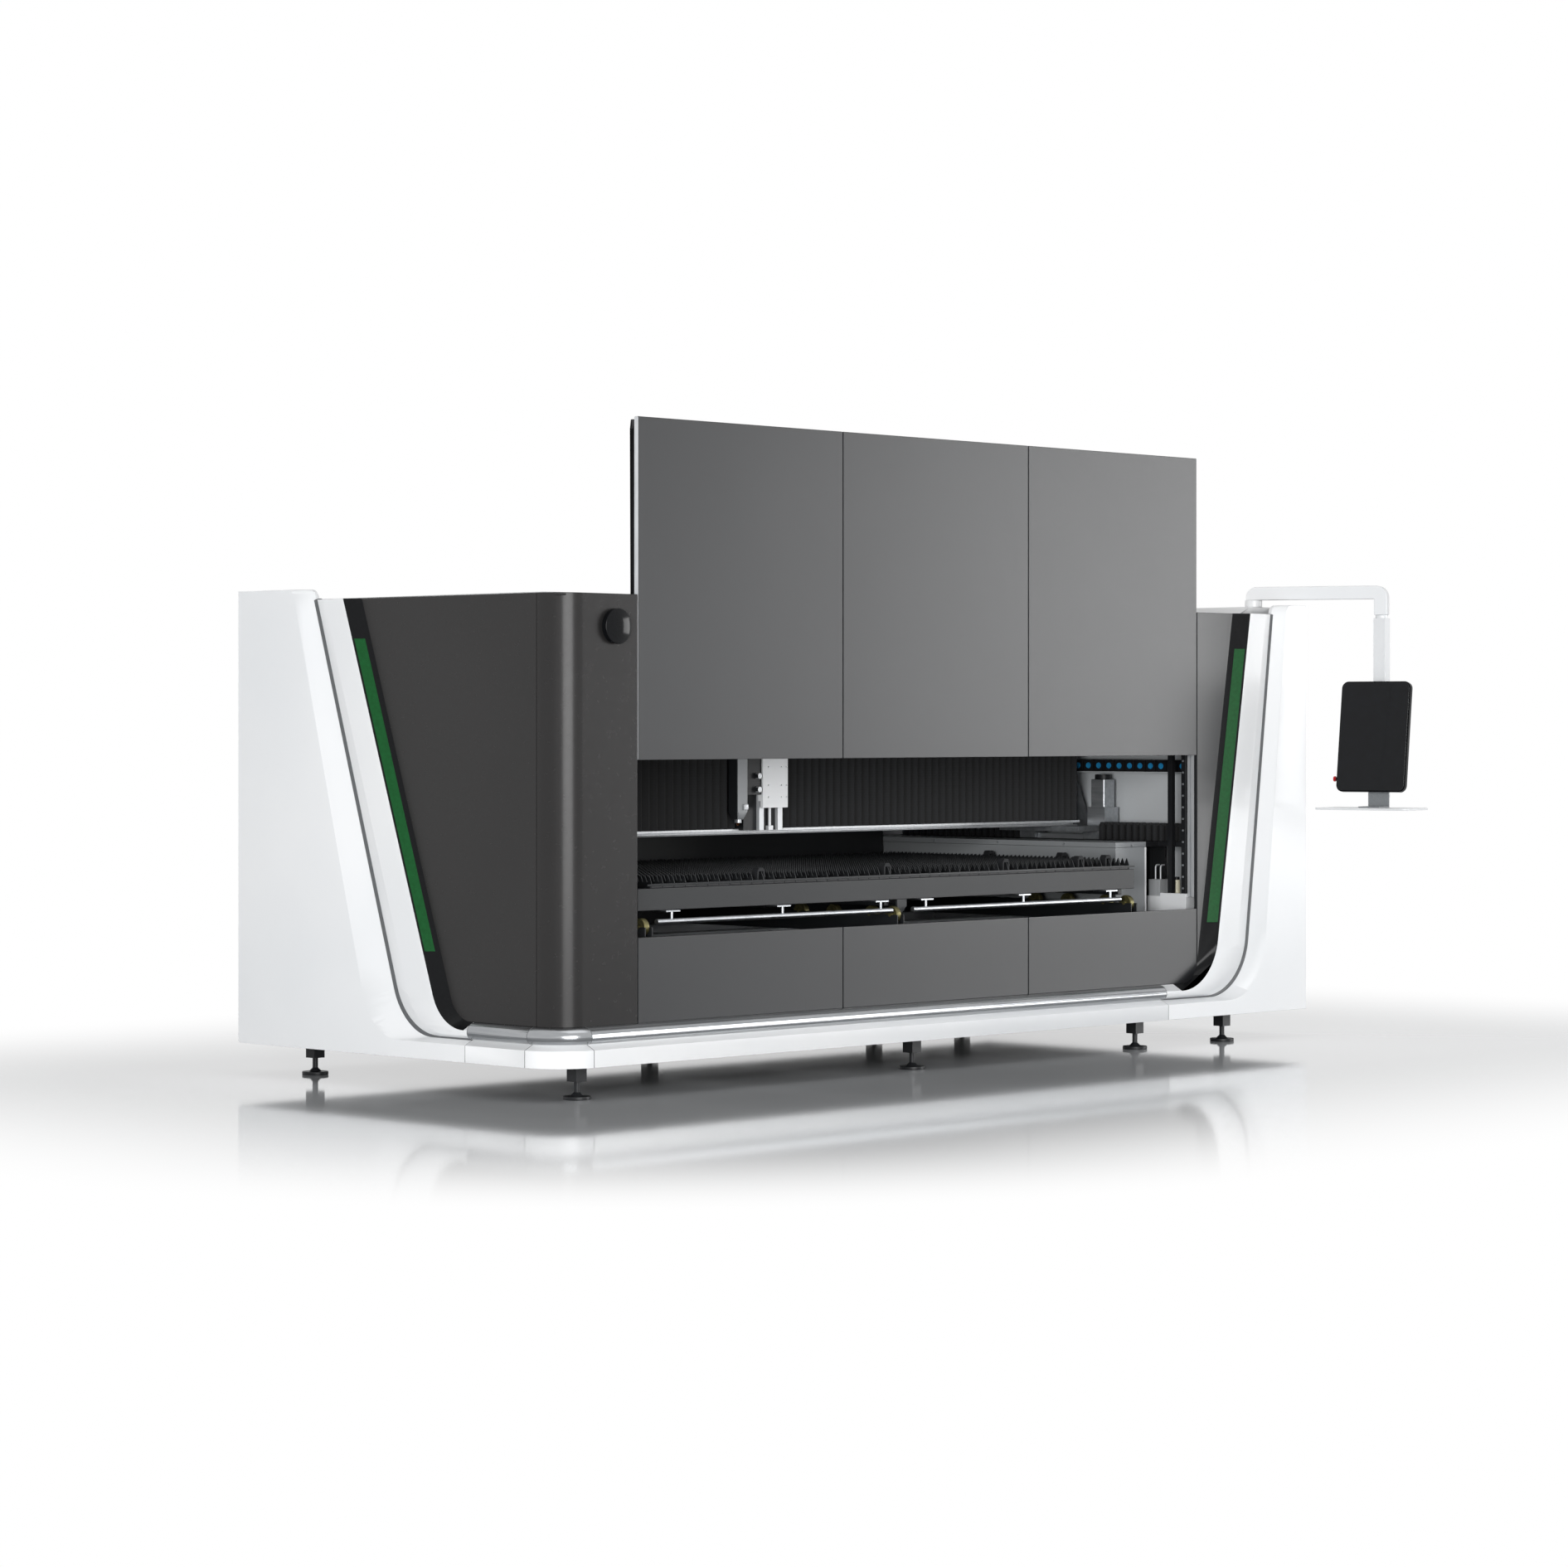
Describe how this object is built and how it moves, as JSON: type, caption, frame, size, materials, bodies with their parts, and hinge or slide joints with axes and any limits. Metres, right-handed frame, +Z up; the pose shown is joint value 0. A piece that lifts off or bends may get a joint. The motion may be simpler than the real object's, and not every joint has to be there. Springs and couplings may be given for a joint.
{
  "type": "fiber laser cutting machine",
  "caption": "Enclosed sheet-metal laser cutter: dark panelled body with white sculpted ends, lifting front door, slatted drawer table, moving gantry and swing-out console.",
  "frame": {"origin": "middle of the whole machine's bounding box, on the floor", "axes": "+X along the front, from the badge end to the console end; +Y from the door to the rear; +Z up"},
  "size_m": [5.1071, 2.6947, 2.778],
  "materials": {
    "white_paint": "gloss white powder coat",
    "graphite_paint": "satin dark graphite coat",
    "black_paint": "satin black coat",
    "black_gloss": "gloss black",
    "dark_grey_paint": "satin dark grey coat",
    "light_grey_paint": "satin light grey coat",
    "bellows_cloth": "coated black cloth, folded",
    "chain_plastic": "matt black",
    "bright_aluminium": "natural anodised",
    "steel": "ground",
    "slat_steel": "mill finish, heat marked",
    "golden_roller": "yellow passivated",
    "nozzle_copper": "turned copper",
    "green_light": "dark green lens, unlit",
    "red_plastic": "gloss red",
    "block_plastic": "matt black"
  },
  "bodies": {
    "frame": {"base_frame": "black_paint", "base_trim_corner": "white_paint", "base_trim_front": "white_paint", "base_trim_left": "white_paint", "bed_sides": "light_grey_paint", "cable_chain": "chain_plastic", "chamber_walls": "light_grey_paint", "console_neck": "white_paint", "control_cabinet": "light_grey_paint", "corner_panel": "graphite_paint", "door_guides": "bright_aluminium", "door_posts": "black_paint", "front_rail_bellows": "bellows_cloth", "front_right_panel": "graphite_paint", "gantry_rails": "steel", "laser_source": "light_grey_paint", "left_shell": "white_paint", "left_side_panel": "graphite_paint", "left_trim": "white_paint", "levelling_feet": "black_paint", "light_channels": "black_gloss", "lower_panels": "graphite_paint", "lubricator": "bright_aluminium", "rail_beams": "light_grey_paint", "rear_panels": "white_paint", "rear_rail_bellows": "bellows_cloth", "right_shell": "white_paint", "right_side_panel": "white_paint", "right_trim": "white_paint", "roller_tracks": "dark_grey_paint", "roof_cover": "white_paint", "round_badge": "black_gloss", "scrap_tray": "steel", "status_lights": "green_light"},
    "door": {"door_panels": "graphite_paint", "door_frame": "black_paint"},
    "table": {"table_frame": "dark_grey_paint", "table_slats": "slat_steel", "sheet_blocks": "block_plastic", "table_handles": "bright_aluminium", "table_locator": "steel"},
    "roller_row_1": {"rollers_1": "golden_roller"},
    "roller_row_2": {"rollers_2": "golden_roller"},
    "roller_row_3": {"rollers_3": "golden_roller"},
    "roller_row_4": {"rollers_4": "golden_roller"},
    "gantry": {"gantry_beam": "bright_aluminium", "end_carriages": "steel", "drive_motors": "black_paint", "beam_bellows_left": "bellows_cloth", "beam_bellows_right": "bellows_cloth"},
    "carriage": {"head_carriage": "black_paint"},
    "head": {"lift_plate": "white_paint", "cutting_head": "dark_grey_paint", "nozzle": "nozzle_copper"},
    "arm": {"console_arm": "white_paint"},
    "drop": {"drop_tube": "white_paint", "console_shelf": "white_paint"},
    "screen": {"monitor_housing": "black_gloss", "monitor_glass": "black_gloss"},
    "stop": {"stop_button": "red_plastic"}
  },
  "joints": [
    {"name": "door_lift", "type": "slide", "parent": "frame", "child": "door", "axis": [0, 0, 1], "range_m": [-0.726, 0]},
    {"name": "table_pull", "type": "slide", "parent": "frame", "child": "table", "axis": [0, -1, 0], "range_m": [0, 1]},
    {"name": "gantry_travel", "type": "slide", "parent": "frame", "child": "gantry", "axis": [0, 1, 0], "range_m": [-0.373, 0.73], "deforming": ["front_rail_bellows", "rear_rail_bellows"]},
    {"name": "head_travel", "type": "slide", "parent": "gantry", "child": "carriage", "axis": [1, 0, 0], "range_m": [-1, 1.91], "deforming": ["beam_bellows_left", "beam_bellows_right"]},
    {"name": "head_lift", "type": "slide", "parent": "carriage", "child": "head", "axis": [0, 0, 1], "range_m": [-0.15, 0]},
    {"name": "arm_swivel", "type": "hinge", "parent": "frame", "child": "arm", "pos_m": [2.22941, -0.4926, 2.09], "axis": [0, 0, 1], "range_deg": [-40, 65]},
    {"name": "screen_swivel", "type": "hinge", "parent": "arm", "child": "drop", "pos_m": [2.49166, -1.06542, 1.165], "axis": [0, 0, 1], "range_deg": [-60, 60]},
    {"name": "screen_tilt", "type": "hinge", "parent": "drop", "child": "screen", "pos_m": [2.43577, -1.07659, 1.455], "axis": [0.1959, -0.9806, 0], "range_deg": [-1, 15]},
    {"name": "stop_press", "type": "slide", "parent": "screen", "child": "stop", "axis": [0.1959, -0.9806, 0], "range_m": [0, 0.004], "stiffness_N_per_m": 800},
    {"name": "roller_spin_1", "type": "hinge", "parent": "frame", "child": "roller_row_1", "pos_m": [-0.40059, -0.5326, 0.6817], "axis": [1, 0, 0], "continuous": true},
    {"name": "roller_spin_2", "type": "hinge", "parent": "frame", "child": "roller_row_2", "pos_m": [-0.40059, -0.4076, 0.6817], "axis": [1, 0, 0], "continuous": true},
    {"name": "roller_spin_3", "type": "hinge", "parent": "frame", "child": "roller_row_3", "pos_m": [-0.40059, -0.1736, 0.6817], "axis": [1, 0, 0], "continuous": true},
    {"name": "roller_spin_4", "type": "hinge", "parent": "frame", "child": "roller_row_4", "pos_m": [-0.40059, 0.0284, 0.6817], "axis": [1, 0, 0], "continuous": true}
  ],
  "couplings": [
    {"joint": "roller_spin_1", "follows": "table_pull", "rad_per_m": 27.027},
    {"joint": "roller_spin_2", "follows": "table_pull", "rad_per_m": 27.027},
    {"joint": "roller_spin_3", "follows": "table_pull", "rad_per_m": 27.027},
    {"joint": "roller_spin_4", "follows": "table_pull", "rad_per_m": 27.027}
  ]
}
